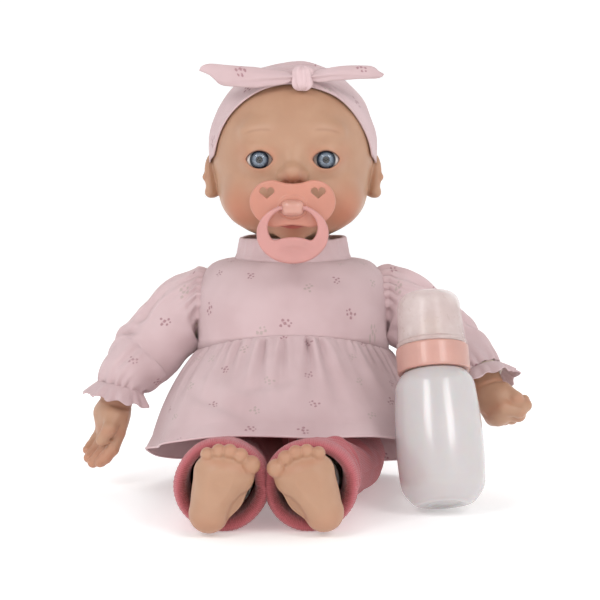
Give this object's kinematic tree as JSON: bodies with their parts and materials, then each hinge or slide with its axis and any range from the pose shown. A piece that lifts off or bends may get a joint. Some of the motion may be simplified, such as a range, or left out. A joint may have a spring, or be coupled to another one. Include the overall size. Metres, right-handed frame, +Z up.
{
  "type": "interactive baby doll",
  "caption": "Seated soft-bodied baby doll with vinyl head, hands and feet, sound module in the back, dress, trousers, headband, removable pacifier and feeding bottle.",
  "frame": {"origin": "on the surface the doll sits on, under the crotch, on the flat bottom of the trousers", "axes": "+Z up, the doll faces -Y, its right hand is on the -X side"},
  "size_m": [0.2552, 0.2306, 0.2511],
  "materials": {
    "vinyl_skin": "soft matt rotocast vinyl",
    "eye_white": "polished",
    "eye_iris": "printed iris",
    "eye_clear": "clear polished acrylic",
    "white_plastic": "moulded, fine texture",
    "black_plastic": "moulded",
    "lead_red": "insulated lead",
    "print_cotton": "soft cotton jersey with a small scattered sprig print",
    "body_cloth": "woven cotton body cloth",
    "stuffing": "polyester fibre",
    "nylon_tie": "nylon cable tie",
    "steel": "plated",
    "battery": "plain jacket",
    "board_green": "solder mask",
    "hook_tape": "hook and loop tape",
    "rose_knit": "ribbed cotton knit",
    "pink_plastic": "satin moulded plastic",
    "pink_gloss": "polished",
    "silicone": "translucent silicone rubber",
    "clear_plastic": "frosted translucent plastic",
    "milk": "white liquid"
  },
  "bodies": {
    "torso": {"torso_cloth": "body_cloth", "torso_stuffing": "stuffing", "neck_tie": "nylon_tie", "sound_case_front": "white_plastic", "sound_case_rear": "white_plastic", "case_screws": "steel", "circuit_board": "board_green", "speaker": "black_plastic", "batteries": "battery", "battery_contacts": "steel", "torso_lead": "lead_red", "dress_yoke": "print_cotton", "dress_skirt": "print_cotton", "dress_collar": "print_cotton", "dress_tape": "hook_tape", "trouser_seat": "rose_knit"},
    "head": {"head_shell": "vinyl_skin", "eyeballs": "eye_white", "irises": "eye_iris", "corneas": "eye_clear", "mouth_cup": "white_plastic", "mouth_reed_switch": "black_plastic", "head_lead": "lead_red", "headband": "print_cotton", "headband_knot": "print_cotton", "headband_bow": "print_cotton"},
    "arm_left_body": {"arm_cloth_left": "body_cloth", "arm_tie_left": "nylon_tie", "sleeve_left": "print_cotton", "sleeve_frill_left": "print_cotton"},
    "arm_right_body": {"arm_cloth_right": "body_cloth", "arm_tie_right": "nylon_tie", "sleeve_right": "print_cotton", "sleeve_frill_right": "print_cotton"},
    "hand_left_body": {"hand_left": "vinyl_skin"},
    "hand_right_body": {"hand_right": "vinyl_skin"},
    "leg_left_body": {"leg_cloth_left": "body_cloth", "leg_tie_left": "nylon_tie", "trouser_leg_left": "rose_knit"},
    "leg_right_body": {"leg_cloth_right": "body_cloth", "leg_tie_right": "nylon_tie", "trouser_leg_right": "rose_knit"},
    "foot_left_body": {"foot_left": "vinyl_skin"},
    "foot_right_body": {"foot_right": "vinyl_skin"},
    "pacifier": {"pacifier_shield": "pink_plastic", "pacifier_button": "pink_gloss", "pacifier_teat": "silicone", "pacifier_magnet": "steel"},
    "pacifier_ring_body": {"pacifier_ring": "pink_plastic"},
    "power_switch": {"switch_knob": "black_plastic"},
    "battery_door_body": {"battery_door": "white_plastic"},
    "bottle": {"bottle_body": "clear_plastic", "bottle_milk": "milk", "bottle_collar": "pink_plastic", "bottle_teat": "silicone", "bottle_magnet": "steel"},
    "bottle_cap_body": {"bottle_cap": "clear_plastic"}
  },
  "joints": [
    {"name": "neck_turn", "type": "hinge", "parent": "torso", "child": "head", "pos_m": [0, 0.005, 0.14], "axis": [0, 0, 1], "range_deg": [-40, 40]},
    {"name": "shoulder_left_raise", "type": "hinge", "parent": "torso", "child": "arm_left_body", "pos_m": [-0.058, 0.008, 0.111], "axis": [0, 1, 0], "range_deg": [0, 60]},
    {"name": "shoulder_right_raise", "type": "hinge", "parent": "torso", "child": "arm_right_body", "pos_m": [0.058, 0.008, 0.111], "axis": [0, -1, 0], "range_deg": [0, 60]},
    {"name": "wrist_left_turn", "type": "hinge", "parent": "arm_left_body", "child": "hand_left_body", "pos_m": [-0.105, -0.008, 0.054], "axis": [-0.2206, -0.0906, -0.9711], "range_deg": [-45, 45]},
    {"name": "wrist_right_turn", "type": "hinge", "parent": "arm_right_body", "child": "hand_right_body", "pos_m": [0.113, -0.028, 0.065], "axis": [0.3286, -0.4802, -0.8133], "range_deg": [-45, 45]},
    {"name": "hip_left_swing", "type": "hinge", "parent": "torso", "child": "leg_left_body", "pos_m": [-0.028, 0.005, 0.02], "axis": [1, 0, 0], "range_deg": [0, 80]},
    {"name": "hip_right_swing", "type": "hinge", "parent": "torso", "child": "leg_right_body", "pos_m": [0.028, 0.005, 0.02], "axis": [1, 0, 0], "range_deg": [0, 80]},
    {"name": "ankle_left_turn", "type": "hinge", "parent": "leg_left_body", "child": "foot_left_body", "pos_m": [-0.0376, -0.13, 0.023], "axis": [0, -1, 0], "range_deg": [0, 30]},
    {"name": "ankle_right_turn", "type": "hinge", "parent": "leg_right_body", "child": "foot_right_body", "pos_m": [0.0094, -0.13, 0.023], "axis": [0, 1, 0], "range_deg": [0, 30]},
    {"name": "pacifier_pull", "type": "slide", "parent": "head", "child": "pacifier", "axis": [0, -1, 0], "range_m": [0, 0.035]},
    {"name": "ring_flip", "type": "hinge", "parent": "pacifier", "child": "pacifier_ring_body", "pos_m": [0, -0.061, 0.168], "axis": [-1, 0, 0], "range_deg": [0, 100]},
    {"name": "switch_slide", "type": "slide", "parent": "torso", "child": "power_switch", "axis": [1, 0, 0], "range_m": [0, 0.003]},
    {"name": "door_lift", "type": "slide", "parent": "torso", "child": "battery_door_body", "axis": [0, 1, 0], "range_m": [0, 0.006]},
    {"name": "bottle_lift", "type": "slide", "parent": "torso", "child": "bottle", "axis": [0, 0, 1], "range_m": [0, 0.2]},
    {"name": "cap_pull", "type": "slide", "parent": "bottle", "child": "bottle_cap_body", "axis": [-0.0602, 0.3584, 0.9316], "range_m": [0, 0.04]}
  ]
}
